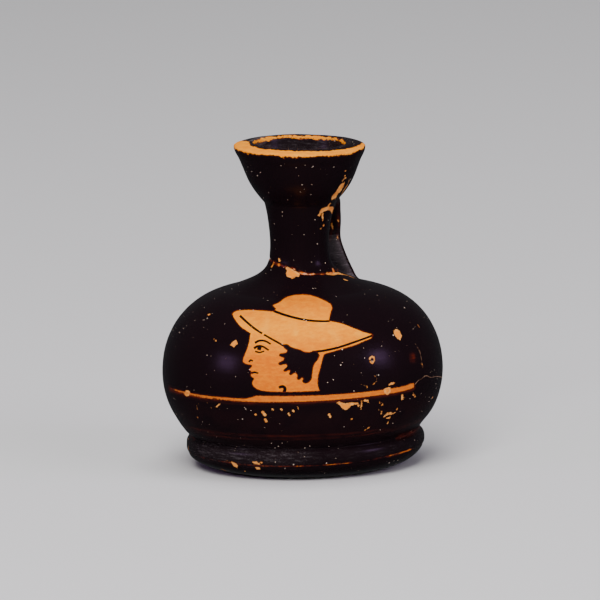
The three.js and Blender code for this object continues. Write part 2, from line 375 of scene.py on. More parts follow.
# %% The seam as a path on the flask
SEAM_PIXELS = [269.4, 258.7, 274, 262.7, 280, 265.4, 287, 267, 291.6, 268, 298, 271.2, 301.7, 273.3, 309.6, 274.4,
               322.9, 274, 330, 273.4, 334, 272.6]
seam_front = on_flask(pairs(SEAM_PIXELS))
seam_turns = np.arctan2(seam_front[:, 0], -seam_front[:, 1])
seam_back_turns = np.linspace(seam_turns[-1], seam_turns[0] + 2 * np.pi, 40)[1:-1]
seam_blend = (seam_back_turns - seam_back_turns[0]) / np.ptp(seam_back_turns)
seam_back_heights = (seam_front[-1, 2] * (1 - seam_blend) + seam_front[0, 2] * seam_blend
                     + 0.5 * np.sin(9 * seam_back_turns) + 0.35 * np.sin(17 * seam_back_turns + 1))
seam_back_radii = wall_radius(seam_back_heights)
seam_back = np.c_[seam_back_radii * np.sin(seam_back_turns),
                  -seam_back_radii * np.cos(seam_back_turns), seam_back_heights]
seam = np.vstack([seam_front, seam_back, seam_front[:1]])


def stroke_distance(points, path, limit=4.0):
    """Distance from points to a path: to each of its pieces in turn, keeping the least."""
    least = np.full(len(points), limit)
    for start, end in zip(path[:-1], path[1:]):
        low, high = np.minimum(start, end) - limit, np.maximum(start, end) + limit
        near = np.all((points > low) & (points < high), axis=1)
        if near.any():
            span = end - start
            share = np.clip((points[near] - start) @ span / (span @ span), 0, 1)
            gap = np.linalg.norm(points[near] - start - share[:, None] * span, axis=1)
            least[near] = np.minimum(least[near], gap)
    return least


SEAM_DEPTH, SEAM_SPREAD = 0.22, 0.3
seam_cut = SEAM_DEPTH * bell(stroke_distance(grid.reshape(-1, 3), seam).reshape(grid.shape[:2]), SEAM_SPREAD)
print("seam of", len(seam), "points")

# %% Move the grid by all of these
push = free * waves(turns, height_row) - free * groove - free * seam_cut
direction = np.stack([outward[:, :1] * np.sin(turns), -outward[:, :1] * np.cos(turns),
                      outward[:, 1:] + 0 * turns], -1)
grid = grid + push[..., None] * direction
grid[..., 2] += lift(grid, height_row)
grid = grid + drift(height_row)[..., None] * level_right
grid[-1], grid[0] = grid[-1].mean(axis=0), grid[0].mean(axis=0)
print("skin pushed in and out by up to", round(float(np.abs(push).max()), 2), "mm")

# %% [markdown]
# ## The strap handle
#
# The handle is a flat strap of clay, pressed on just under the cup and on the shoulder. It is a
# rounded section carried along a path. Where it nears the wall its skin swells out to meet the
# wall at a tangent, which is how wet clay was smoothed down at the joint.

# %% Path of the strap
HANDLE_WIDTH, HANDLE_THICKNESS, HANDLE_GAP = 12.0, 4.0, 5.4
HANDLE_TOP_DROP, HANDLE_ARCH, HANDLE_ROOT_RADIUS, HANDLE_ROOT_FLARE = 0.9, 0.8, 23.6, 1.2
HANDLE_SHOULDER_INSET, HANDLE_SHOULDER_DROP, HANDLE_BEND_DROP = 1.1, 0.9, 4.0
HANDLE_FLARE_OUT, HANDLE_FLARE_UP = 0.62, 0.4
handle_reach = NECK_ROOT_RADIUS + HANDLE_GAP + HANDLE_THICKNESS / 2
handle_top = CUP_SEAT_HEIGHT - HANDLE_TOP_DROP
handle_root = float(np.interp(-HANDLE_ROOT_RADIUS, -upper_body[:, 0], upper_body[:, 1]))
drop_end = handle_root + (handle_top - handle_root) * 0.5
path_joints = np.array([
    (1.5, handle_top - HANDLE_ARCH), (NECK_TOP_RADIUS, handle_top),
    (handle_reach - HANDLE_SHOULDER_INSET, handle_top - HANDLE_SHOULDER_DROP),
    (handle_reach, handle_top - HANDLE_BEND_DROP), (handle_reach, drop_end),
    between((handle_reach, handle_root), (HANDLE_ROOT_RADIUS, drop_end), HANDLE_FLARE_OUT, HANDLE_FLARE_UP),
    (HANDLE_ROOT_RADIUS, handle_root), (HANDLE_ROOT_RADIUS + WALL * 0.8, handle_root - WALL * 1.3)])


def smooth_path(joints, count=24, closed=False):
    """A smooth curve through joints: between each pair, a cubic whose slopes follow the neighbours,
    with each joint's share of the time set by the root of its distance to the next."""
    if closed:
        joints = np.vstack([joints[-1], joints, joints[:2]])
    else:
        joints = np.vstack([2 * joints[0] - joints[1], joints, 2 * joints[-1] - joints[-2]])
    spans = []
    for a, b, c, d in zip(joints[:-3], joints[1:-2], joints[2:-1], joints[3:]):
        ab, bc, cd = (max(np.linalg.norm(q - p), 1e-6) ** 0.5 for p, q in ((a, b), (b, c), (c, d)))
        leave = ((b - a) / ab - (c - a) / (ab + bc) + (c - b) / bc) * bc
        arrive = ((c - b) / bc - (d - b) / (bc + cd) + (d - c) / cd) * bc
        t = np.linspace(0, 1, count, endpoint=False)[:, None]
        spans.append((2 * t ** 3 - 3 * t * t + 1) * b + (t ** 3 - 2 * t * t + t) * leave
                     + (3 * t * t - 2 * t ** 3) * c + (t ** 3 - t * t) * arrive)
    return np.vstack(spans) if closed else np.vstack(spans + [joints[-2:-1]])


strap_path = even(smooth_path(path_joints), 0.45)
print("strap path", len(strap_path), "points")


# %% Section of the strap, carried along the path
def strap_section(count=56):
    """A rounded bar: an oval whose powers are raised so that its long faces are nearly flat."""
    a = np.linspace(0, 2 * np.pi, count, endpoint=False)
    flat = lambda wave, power: np.sign(wave) * np.abs(wave) ** power
    return np.c_[HANDLE_WIDTH / 2 * flat(np.cos(a), 0.62), HANDLE_THICKNESS / 2 * flat(np.sin(a), 0.72)]


section = strap_section()
heading = run_of(strap_path)
side_out = np.c_[-heading[:, 1], heading[:, 0]]
spread = np.clip((drop_end - strap_path[:, 1]) / (drop_end - handle_root), 0, 1.2)
widen = 1 + HANDLE_ROOT_FLARE * 2 * spread ** 2 / HANDLE_WIDTH
strap = np.stack([
    section[:, 0][None, :] * widen[:, None],
    strap_path[:, :1] + section[:, 1][None, :] * side_out[:, :1],
    strap_path[:, 1:] + section[:, 1][None, :] * side_out[:, 1:]], -1)
print("strap", HANDLE_WIDTH, "mm wide,", round(float(widen.max()), 2), "times as wide at its root")

# %% Swell the skin near the wall
FILLET = 1.7
wall_line = outside[(outside[:, 1] > 30) & (outside[:, 1] < 80)]
reach = np.hypot(strap[..., 0], strap[..., 1])
gap_r = reach[..., None] - wall_line[:, 0]
gap_z = strap[..., 2][..., None] - wall_line[:, 1]
nearest = np.argmin(gap_r ** 2 + gap_z ** 2, axis=-1)
wall_run = run_of(wall_line)[nearest]
out_by, up_by = (np.take_along_axis(gap, nearest[..., None], -1)[..., 0] for gap in (gap_r, gap_z))
away = out_by * wall_run[..., 1] - up_by * wall_run[..., 0]
closeness = np.clip(FILLET - np.clip(away, 0, None), 0, FILLET)
swell = FILLET - np.sqrt(FILLET ** 2 - closeness ** 2)
around = run_of(np.concatenate([section[-1:], section, section[:1]]))[1:-1]
skin = np.c_[around[:, 1], -around[:, 0]]
skin3 = np.stack([skin[:, 0][None, :] + 0 * strap_path[:, :1],
                  skin[:, 1][None, :] * side_out[:, :1], skin[:, 1][None, :] * side_out[:, 1:]], -1)
strap = strap + swell[..., None] * skin3
strap = strap + 0.06 * np.sin(0.9 * strap[..., 2:] + 1.3 * strap[..., :1] + 0.5) * skin3
strap = strap + drift(strap[..., 2])[..., None] * level_right
print("strap", strap.shape, "swells by up to", round(float(swell.max()), 2), "mm")


# %% Meshes from the two grids
def read(members, what, kind=float):
    """One property of all members, three numbers to a row."""
    numbers = np.empty(len(members) * 3, kind)
    members.foreach_get(what, numbers)
    return numbers.reshape(-1, 3)


def volume(mesh):
    """Signed volume: a sixth of the sum of each triangle's corners' triple product."""
    mesh.calc_loop_triangles()
    corners = read(mesh.vertices, "co")[read(mesh.loop_triangles, "vertices", np.int32)]
    a, b, c = corners.transpose(1, 0, 2)
    return float(np.einsum("ij,ij->i", a, np.cross(b, c)).sum() / 6)


def closed_mesh(name, rows, tip_start, tip_end):
    """A mesh from a grid that closes round its columns, with a fan of triangles at each end, and
    with its faces outwards: they are all turned round if the volume comes out below nothing."""
    count, columns = rows.shape[:2]
    verts = np.vstack([rows.reshape(-1, 3), tip_start, tip_end])
    ring = np.arange(columns)
    after = (ring + 1) % columns
    last = (count - 1) * columns
    start_fan = np.c_[np.full(columns, count * columns), after, ring]
    end_fan = np.c_[np.full(columns, count * columns + 1), last + ring, last + after]
    faces = grid_faces(count, columns).tolist() + start_fan.tolist() + end_fan.tolist()
    mesh = bpy.data.meshes.new(name)
    mesh.from_pydata((verts * MM).tolist(), [], faces)
    mesh.validate()
    mesh.update()
    if volume(mesh) < 0:
        mesh.flip_normals()
    return placed(name, mesh)


flask = closed_mesh("flask", grid[1:-1], grid[0].mean(axis=0), grid[-1].mean(axis=0))
handle = closed_mesh("strap", strap, strap[0].mean(axis=0), strap[-1].mean(axis=0))
print("volumes in millilitres", [round(volume(piece.data) * 1e6, 2) for piece in (flask, handle)])

# %% [markdown]
# ## One fired piece
#
# The strap's two ends run into the wall. They are first cut back to the middle of the wall, so that
# nothing shows inside the neck, and then the strap and the body are joined into one skin.

# %% Join the strap and the body
CORE_DEPTH, CORE_BOTTOM, CORE_TOP = 1.4, 12.0, 78.0
core_line = chain([(ON_AXIS, CORE_BOTTOM)],
                  inset(chain(lower_body, upper_body, shoulder_line, neck_line, cup_line), CORE_DEPTH)[20:-6:2],
                  [(ON_AXIS, CORE_TOP)])
core_grid = turned(core_line, np.linspace(0, 2 * np.pi, 96, endpoint=False))
core_grid = core_grid + drift(core_line[:, 1])[:, None, None] * level_right
core = closed_mesh("core", core_grid[1:-1], core_grid[0].mean(axis=0), core_grid[-1].mean(axis=0))


def combine(piece, other, operation):
    """Cuts other from piece, or joins it on, and keeps the result as the piece's own mesh."""
    change = piece.modifiers.new(operation.lower(), "BOOLEAN")
    change.operation, change.object, change.solver = operation, other, "MANIFOLD"
    bpy.context.view_layer.update()
    result = bpy.data.meshes.new_from_object(piece.evaluated_get(bpy.context.evaluated_depsgraph_get()))
    piece.modifiers.clear()
    piece.data = result
    bpy.data.objects.remove(other)


combine(handle, core, "DIFFERENCE")
combine(flask, handle, "UNION")
flask.data.shade_smooth()
print("joined:", len(flask.data.vertices), "points,", round(volume(flask.data) * 1e6, 2), "millilitres of clay")

# %% [markdown]
# ## What was painted and what was left bare
#
# The painter covered the pot with slip and left the picture bare. So one number at each point of
# the skin says it all: how deep the point lies inside bare clay, in millimetres, and less than
# nothing where slip covers it. Outlines are drawn as they show in the view.

# %% Places on the finished skin
NEAR_WALL = 0.8
count = len(flask.data.vertices)
skin_points = read(flask.data.vertices, "co") / MM
upright = skin_points - drift(skin_points[:, 2])[:, None] * level_right
height = skin_points[:, 2] - lift(upright, skin_points[:, 2])
reach = np.hypot(upright[:, 0], upright[:, 1])
turn = np.degrees(np.arctan2(upright[:, 0], -upright[:, 1]) - VIEW_TURN)
turn = (turn + 180) % 360 - 180
view = seen(skin_points)
on_wall = np.abs(reach - wall_radius(height)) < NEAR_WALL
print("points that face the view:", int(np.sum(on_wall & (np.abs(turn) < 90))))


# %% Depth inside an outline
def outline_depth(points, corners):
    """Distance to the nearest edge of a closed outline, positive inside: a point is inside if a
    line to its right crosses the outline an odd number of times."""
    least = np.full(len(points), 1e9)
    inside = np.zeros(len(points), bool)
    for (ax, ay), (bx, by) in zip(corners, np.roll(corners, -1, axis=0)):
        px, py = points[:, 0] - ax, points[:, 1] - ay
        dx, dy = bx - ax, by - ay
        share = np.clip((px * dx + py * dy) / max(dx * dx + dy * dy, 1e-9), 0, 1)
        least = np.minimum(least, (px - share * dx) ** 2 + (py - share * dy) ** 2)
        crosses = (py < 0) != (py < dy)
        inside ^= crosses & (px < np.where(dy == 0, 0, py * dx / (dy if dy else 1)))
    return np.where(inside, 1, -1) * np.sqrt(least)


# %% The head in its broad hat: outlines in pixels of the view, as x, y, x, y and so on
HAT = [232.4, 313.7, 233.9, 312, 237.9, 310.5, 247.7, 309.8, 256.6, 310.3, 266.5, 311, 274.4, 311.6, 290, 312,
       315, 314, 328.8, 321, 335.7, 322.1, 343.6, 324.1, 353.5, 328.1, 363.4, 332, 370.8, 334, 372.7, 335, 371.8, 337,
       370.8, 338.5, 363.4, 341.4, 353.5, 345.6, 343.6, 348.3, 333.7, 351.3, 327.8, 352.8, 323.9, 354.3]
NAPE = [322.9, 357.2, 321.4, 363.2, 319.9, 369.1, 318.4, 374.1, 317.7, 379, 317.6, 384, 318.4, 387.9, 319.6, 390.7,
        300, 391.6, 284.3, 391.9]
FACE = [272, 391.6, 266.5, 391.2, 261.5, 390.6, 257.2, 389, 253.8, 386.6, 252.2, 383.6, 252.6, 381, 254.2, 379.2,
        253.8, 378, 251.8, 376.8, 250.6, 375.2, 251.2, 373.8, 253.6, 372.8, 251.2, 371.6, 249.8, 369.8, 250.6, 367.8,
        252.2, 366.2, 251.6, 364.8, 248.4, 364.2, 245, 363.4, 242.8, 361.6, 243, 359.4, 245.2, 353.8, 247.6, 347.6,
        249, 342.4, 249.8, 337.4, 250.6, 333.2]
BRIM_FRONT = [246.3, 330.5, 242.3, 328.1, 238.8, 324.6, 235.9, 320.7, 233.4, 316.7]
CROWN = [274.2, 311.4, 275.3, 309.8, 276.1, 308.8, 274.4, 307, 272.7, 305.3, 276.4, 303.8, 280.4, 301.7, 284.3, 298.4,
         288.3, 296.5, 294.2, 295.1, 303.1, 294.5, 310, 295.1, 316.9, 297.1, 322.9, 299.7, 327.3, 301.9, 330.3, 303.8,
         331.8, 306.3, 332.1, 308.3, 331, 311.3, 330, 314.7, 329.3, 318.7, 328.6, 321.6, 312, 320, 290, 316]
HAIR = [283.3, 345.6, 284.8, 348.3, 287.3, 350.5, 286.3, 352.6, 282.8, 353.3, 279.6, 354.1, 279.3, 355.7, 281.6, 356.7,
        284.3, 358.2, 283.6, 360.2, 280.6, 361.8, 278.3, 363.3, 279.1, 364.7, 282.3, 364.6, 285.5, 364, 287.4, 365.4,
        286.8, 367.6, 284.5, 369.1, 283.7, 370.6, 285, 371.4, 287.5, 370.6, 289.7, 370, 290.2, 371.4, 289.2, 373.5,
        290.2, 374.9, 292, 374.4, 293.9, 372.9, 296.2, 373.2, 297.5, 375.4, 297.1, 378, 298.2, 379.7, 299.9, 379.3,
        301.5, 377.5, 303, 377.6, 303.4, 379, 302.4, 380.7, 303.6, 382.6, 306.1, 383.2, 309, 382, 311.2, 379,
        312, 374.1, 312.6, 369.1, 314.2, 364.2, 317.7, 359.2, 319.3, 355.8, 318.2, 353.3, 316.4, 351.6, 313, 351,
        311, 352.1, 304.1, 351.8, 300.1, 349.8, 294.2, 348.3, 289.7, 346.4, 287.4, 344.6, 284.6, 344.6]
PICTURE_SIDE, PICTURE_BOTTOM, PICTURE_TOP = 96, 18, 54
NO_CLAY, HAIR_EDGE = -9.0, 0.25
near_picture = on_wall & (np.abs(turn) < PICTURE_SIDE) & (height > PICTURE_BOTTOM) & (height < PICTURE_TOP)
picture_view = view[near_picture]
head_depth = np.maximum(*(outline_depth(picture_view, pairs(line)) for line in (HAT + NAPE + FACE + BRIM_FRONT, CROWN)))
hair_depth = outline_depth(picture_view, smooth_path(pairs(HAIR), 4, closed=True))
bare = np.full(count, NO_CLAY)
bare[near_picture] = np.minimum(head_depth, -hair_depth - HAIR_EDGE) * MM_PER_PIXEL
print("bare clay in the picture at", int(np.sum(bare > 0)), "points")

# %% The ground line under the head
BAND_TURNS = [-73, -71.5, -70, -64, -55, -40, -24, -22.5, -19, 0, 25, 45, 51, 52.3, 53]
BAND_TOPS = [22.2, 22.7, 22.9, 23.05, 23.05, 23.05, 23.15, 23.4, 24.1, 24.1, 24.1, 24.2, 24.55, 24.4, 22.9]
BAND_BOTTOMS = [22.8, 22.5, 22.5, 22.5, 22.45, 22.4, 22.4, 22.4, 22.45, 22.6, 22.8, 22.95, 23.2, 23.4, 23.8]
band_top = np.interp(turn, BAND_TURNS, BAND_TOPS, left=0, right=0)
band_bottom = np.interp(turn, BAND_TURNS, BAND_BOTTOMS, left=9, right=9)
band_depth = np.minimum(band_top - height, height - band_bottom)
bare = np.where(on_wall, np.maximum(bare, band_depth), bare)
print("ground line at", int(np.sum(on_wall & (band_depth > 0))), "points")

# %% The flat lip, bare in front and on the sides
LIP_ZONE_BOTTOM, LIP_ZONE_RADIUS, LIP_SLOPE = 81, 8, 1.02
over_lip = (height > LIP_ZONE_BOTTOM) & (reach > LIP_ZONE_RADIUS)
beyond_ridge = np.where(reach > RIDGE_RADIUS, np.clip(LIP_EDGE_HEIGHT - height, 0, None), 0)
lip_run = (reach - RIDGE_RADIUS) * LIP_SLOPE + beyond_ridge - np.where(reach < RIDGE_RADIUS, TOTAL_HEIGHT - height, 0)
LIP_TURNS = [-180, -125, -108, -97, -80, -62, -40, 0, 40, 70, 84, 96, 104, 180]
LIP_FROM = [5.8, 5.6, 3.0, 1.0, 0.8, 1.5, 1.8, 2.0, 2.3, 3.1, 3.4, 4.2, 5.8, 5.9]
LIP_TO = [4.0, 4.2, 4.6, 5.1, 5.5, 5.55, 5.55, 5.5, 5.5, 5.4, 5.2, 5.0, 4.6, 4.0]
lip_from, lip_to = np.interp(turn, LIP_TURNS, LIP_FROM), np.interp(turn, LIP_TURNS, LIP_TO)
lip_depth = np.minimum(lip_run - lip_from, lip_to - lip_run)
inner_strip = np.minimum(-0.55 - lip_run, lip_run + 1.75 + 0.3 * np.sin(np.radians(turn * 5)))
inner_strip = np.minimum(inner_strip, (np.abs(turn) - 84) * 0.2)
bare = np.where(over_lip, np.maximum(lip_depth, inner_strip), bare)
print("bare lip at", int(np.sum(over_lip & (bare > 0))), "points")

# %% The seam, the foot's edge line and the underside
seam_gap = stroke_distance(skin_points, seam + drift(seam[:, 2])[:, None] * level_right, 2.0)
seam_width = 0.2 + 0.1 * np.sin(np.radians(turn * 7 + 40)) + 0.08 * np.sin(np.radians(turn * 23))
bare = np.where(on_wall, np.maximum(bare, seam_width - seam_gap), bare)
EDGE_OFFSET, EDGE_RISE, FOOT_SIDE_TOP = 0.1, 0.7, 6
EDGE_TURNS = [-180, -150, -120, -90, -56, -46, -36, -24, -14, -4, 4, 7, 9, 20, 24, 31, 40, 45, 60, 66, 90, 120, 160,
              180]
EDGE_WIDTHS = [-0.1, 0.1, -0.15, 0.05, -0.15, 0.03, 0.1, 0.03, -0.03, 0.04, -0.15, -0.15, 0.12, 0.08, -0.15, 0.02,
               -0.06, 0.2, 0.18, -0.15, 0.08, -0.15, 0.1, -0.1]
edge_waves = 0.09 * np.sin(np.radians(turn * 31)) * np.sin(np.radians(turn * 13))
edge_width = np.interp(turn, EDGE_TURNS, EDGE_WIDTHS) - 0.03 + edge_waves
edge_height = GROOVE_HEIGHT + EDGE_OFFSET + EDGE_RISE * np.sin(np.radians(turn)) ** 2
edge_depth = edge_width - np.abs(height - edge_height)
on_foot = on_wall & (reach > FOOT_SIDE_RADIUS) & (height < FOOT_SIDE_TOP)
bare = np.where(on_foot, np.maximum(bare, edge_depth), bare)
below = (height < RECESS_DEPTH + 0.5) & (reach < RING_RADIUS + 1.2)
bare = np.where(below, np.maximum(RING_RADIUS + 0.4 - reach, -1), bare)
print("bare clay at", int(np.sum(bare > 0)), "of", count, "points")

# %% [markdown]
# ## Brush lines inside the picture
#
# A brush line is thinner than the grid of the skin, so its distance can't be stored as it is: the
# valley at its middle would fall between two points. What is stored is which side of the line a
# point lies on and how far, and how far along it is. Both change evenly over the skin, so they
# stay exact between the points, and the material turns them into a line with clean edges.

# %% Places along and across a brush line
def brush_places(points, line, reach=40.0):
    """Along: length walked to the nearest place of the line; across: the distance to it, positive
    on its left. Both ends are drawn out straight, so that the sides stay apart beyond them."""
    ends = [line[0] + (line[0] - line[1]) * reach / np.linalg.norm(line[0] - line[1]),
            line[-1] + (line[-1] - line[-2]) * reach / np.linalg.norm(line[-1] - line[-2])]
    path = np.vstack([ends[0], line, ends[1]])
    along, across = np.zeros(len(points)), np.full(len(points), 1e6)
    walked = -reach
    for a, b in zip(path[:-1], path[1:]):
        span = b - a
        length = np.linalg.norm(span)
        share = np.clip((points - a) @ span / length ** 2, 0, 1)
        gap = points - a - share[:, None] * span
        distance = np.hypot(gap[:, 0], gap[:, 1])
        side = np.sign(span[0] * gap[:, 1] - span[1] * gap[:, 0])
        nearer = distance < np.abs(across)
        along = np.where(nearer, walked + share * length, along)
        across = np.where(nearer, side * distance, across)
        walked += length
    return along, across


BRUSH_LINES = {
    "crown_edge": ([274, 311, 284.3, 314.7, 294.2, 317.5, 304.1, 319.6, 314, 320.8, 323.8, 321.2, 329.4, 321], 1.05,
                    0.75),
    "brim_left": ([240.2, 315.8, 244.8, 320.2, 249.7, 324.6, 254.7, 328.6, 261.8, 333.2], 1, 0.75),
    "brim_middle": ([264.3, 334.7, 271.5, 338.9, 278.4, 342.7, 284.8, 346.4], 0.7, 0.8),
    "brim_right": ([372.7, 335.4, 363.4, 338.9, 353.5, 342.4, 343.6, 345.8, 333.7, 348.6, 323.9, 350.6, 313.5, 352],
                    0.85, 1),
    "throat": ([284, 392.4, 285, 388.6, 283, 386.6, 279.2, 387.4], 1.5, 1.1),
    "brow": ([255.2, 342.6, 259.4, 340.6, 265, 341, 270.4, 343.8], 0.95, 0.6),
    "upper_lid": ([254.2, 348.2, 257.6, 346.2, 262.4, 346.4, 268.4, 350], 1, 0.6),
    "lower_lid": ([255.4, 351.4, 259.4, 352.4, 264, 351.2], 0.6, 0.5),
    "iris": ([257.6, 348, 260.8, 348.9], 1.5, 1.5),
    "nostril": ([249, 361.6, 250.8, 360, 252.6, 360.8], 0.7, 0.55),
    "lips": ([251.6, 372.9, 254.6, 372.3, 258, 373.2], 0.95, 0.6)}
CRACK_LINES = {
    "crack_low": ([415.2, 384.6, 417.6, 381, 421, 379.2, 425.9, 375.6, 431, 377.4, 436, 376.4, 443, 377.4], 0.12,
                   0.22),
    "crack_high": ([415.4, 344, 418.2, 348.6, 420, 352.4, 421, 357, 421.8, 362, 423, 367], 0.05, 0.05)}
# After its points, each line has half its width in pixels at its start and at its end
FAR_ACROSS = 50.0
brush_fields, brush_lengths = {}, {}
for name, (line, *widths) in {**BRUSH_LINES, **CRACK_LINES}.items():
    line = smooth_path(pairs(line), 6)
    places = np.full((count, 3), (0.0, FAR_ACROSS, 0.0))
    places[near_picture, 0], places[near_picture, 1] = brush_places(picture_view, line)
    brush_fields[name] = places * MM_PER_PIXEL
    brush_lengths[name] = float(np.linalg.norm(np.diff(line, axis=0), axis=1).sum()) * MM_PER_PIXEL
print({name: round(length, 2) for name, length in brush_lengths.items()})

# %% Flakes and scratches: where the slip has come off
# Short strokes, listed under half their width in pixels, and outlines of the larger flakes
CHIPS = {
    0.35: [[373.6, 375.2, 376.8, 377.6, 377.2, 381, 373.8, 384.2]],
    0.5: [[361.6, 384.8, 367.2, 386.2, 367.4, 389], [297.2, 406, 298.6, 409.8]],
    0.55: [[198.6, 403.4, 196.9, 406.6, 197.6, 410]],
    0.6: [[365, 429.8, 369.4, 427.4], [288.4, 413.4, 289.6, 415.4], [357.4, 403.6, 359, 406.4]],
    0.7: [[382.4, 412, 383.4, 413.4], [388.6, 416.4, 389.6, 418.4], [219.8, 403.6, 217, 406.2, 215.6, 409],
          [224.6, 460.6, 233.6, 462]],
    0.75: [[369.8, 359, 371.4, 356.8, 374, 357.2, 374.6, 359.8, 372.6, 363, 370.4, 361.6],
           [361.8, 401.2, 361.6, 405.2]],
    0.8: [[348.9, 179.4, 347.6, 184, 343.6, 190, 341.2, 194.4], [344.6, 175.6, 345.4, 176.8],
          [267.6, 262.4, 268.8, 265.6, 272, 266.8, 272.8, 263.6], [394, 413.6, 396, 412], [207.8, 403, 210.8, 407.6],
          [360.8, 408.2, 361.6, 409], [387.4, 421.4, 388.2, 423.6], [396.6, 408, 398.6, 411.6],
          [421.4, 363.4, 422, 364.2]],
    0.9: [[345, 170.4, 345.4, 171.6], [330.4, 203.2, 328.4, 206], [322, 214.8, 322.8, 220.6],
          [323.6, 224.8, 320.4, 228.4], [339, 274.2, 348, 275.2, 357.4, 279.4], [292, 410, 293.6, 411.6],
          [281, 409, 282, 409.6], [272.6, 409.4, 273.6, 409.8], [255.2, 414.2, 256, 414.8],
          [401.8, 394.4, 402.4, 399.6], [383.6, 416, 386, 418.4], [351.6, 419, 352.4, 419.6],
          [432.2, 397.4, 432.8, 398.2], [242, 468.6, 245, 471]],
    1: [[342.4, 179.8, 345.6, 178.2], [214.7, 339.6, 215.9, 340.6], [379.6, 409.6, 381, 412, 380.4, 414.6],
        [196.2, 415.8, 198, 417.6], [389.4, 384.6, 394.6, 382.8]],
    1.1: [[318.4, 214.6, 319.4, 215.2], [278.6, 259, 279.4, 260.6], [208.6, 313.6, 209.4, 315.2],
          [364.8, 400.4, 368.4, 401.4], [386.4, 412.6, 388.2, 414, 391.2, 413.2], [380.2, 402.4, 382.6, 404.6],
          [329, 414.6, 330.4, 417]],
    1.2: [[344.4, 279.6, 346.4, 280.4], [413, 394.2, 415.2, 396.4], [423.2, 367.4, 424.2, 371.4],
          [265.2, 419.6, 266.4, 421.8]],
    1.3: [[402.4, 395, 403.8, 398], [205, 465.2, 207.2, 466.6]],
    1.4: [[418.2, 324.4, 419.8, 327], [262.6, 412, 265.2, 415], [187.8, 437, 187.6, 439.4]],
    1.5: [[327.6, 273.6, 333, 274.4, 339.6, 273.4], [222.6, 469, 225.6, 470.6], [188.2, 445.6, 188.8, 450]]}
CHIP_PATCHES = [
    [341.6, 183.6, 344.8, 182.4, 343, 187, 341.2, 190.6, 337.6, 193.8, 336.4, 196.6, 334.8, 199.8, 333.4, 198.6,
     331.4, 200.4, 332, 196.6, 336, 192, 338.8, 187.6],
    [319.2, 211.4, 322.4, 208.4, 327, 207, 332.8, 206.8, 334.4, 209.6, 334.2, 214.8, 332.2, 214.6, 331.2, 210.8,
     327.4, 209.8, 323.6, 211.4, 320.4, 213.2],
    [285.4, 267.4, 288.2, 267.2, 291.4, 269.2, 296.8, 272.2, 300.2, 274, 298.6, 276.4, 295, 276.6, 293, 278.8,
     290, 277.4, 287, 276.6, 286, 273.8, 287.2, 271],
    [393.8, 331.2, 395.4, 329, 398.2, 329.8, 400.6, 332.8, 401.6, 336.4, 400.4, 339.8, 397.4, 338.4, 394.6, 334.8],
    [230, 345, 233, 341.6, 236, 340, 238, 343.6, 235.2, 345.4, 233.8, 347.4, 232, 345.8],
    [334.8, 401.8, 339.4, 401.4, 342.6, 403, 347, 403.2, 351.8, 402.6, 357.6, 402.2, 358.4, 404, 354.4, 404.4,
     351, 405.2, 349.6, 407.8, 346, 409.6, 342.6, 408.8, 340.6, 405.4, 337.6, 403.2],
    [383.4, 390, 385.6, 387.8, 388.8, 387.4, 391.4, 389.4, 390, 391.2, 391.2, 393.2, 388, 392.8, 386.2, 395.4,
     384.2, 394.8, 384.8, 392.2],
    [184, 392.6, 186.4, 389.8, 189.4, 391.2, 189.8, 394.6, 187.2, 396.4, 184.6, 395.2],
    [231.8, 462.2, 234, 462.4, 236.8, 464.4, 238.4, 467.4, 236.4, 467.8, 233.8, 466, 232.2, 464.2],
    [252.4, 462.2, 256, 461.8, 259, 463, 262.8, 461.8, 262.2, 463.4, 258.6, 464.6, 254.4, 463.8],
    [255.4, 467.2, 259.4, 467.6, 260.4, 469, 258.2, 469.8, 256, 468.8]]
NO_CHIP, WORN_RISE, CHIP_REACH = -3.0, 2.78, 12
STRAP_START, STRAP_BOTTOM, STRAP_TOP, FACING_SIDE = 8.5, 38, 71, 86
chip_depth = np.full(count, NO_CHIP)
for width, strokes in CHIPS.items():
    for stroke in strokes:
        path = on_flask(pairs(stroke))
        near = np.linalg.norm(skin_points - path.mean(axis=0), axis=1) < CHIP_REACH
        gap = stroke_distance(skin_points[near], path, 3.0)
        chip_depth[near] = np.maximum(chip_depth[near], width * MM_PER_PIXEL - gap)
on_strap = ~on_wall & (upright[:, 1] > STRAP_START) & (height > STRAP_BOTTOM) & (height < STRAP_TOP)
STRAP_CHIPS = {
    0.4: [[338, 219.6, 338.2, 221.4], [350.4, 262, 351.2, 263.4]],
    0.45: [[337.4, 236.4, 338, 238.6]],
    0.6: [[331.8, 223, 332.4, 228.6]]}
for width, strokes in STRAP_CHIPS.items():
    for stroke in strokes:
        gap = stroke_distance(view[on_strap], pairs(stroke), 12.0)
        chip_depth[on_strap] = np.maximum(chip_depth[on_strap], (width - gap) * MM_PER_PIXEL)
facing = on_wall & (np.abs(turn) < FACING_SIDE)
for patch in CHIP_PATCHES:
    patch_depth = outline_depth(view[facing], pairs(patch)) * MM_PER_PIXEL
    chip_depth[facing] = np.maximum(chip_depth[facing], patch_depth)
print("flaked points:", int(np.sum(chip_depth > 0)))

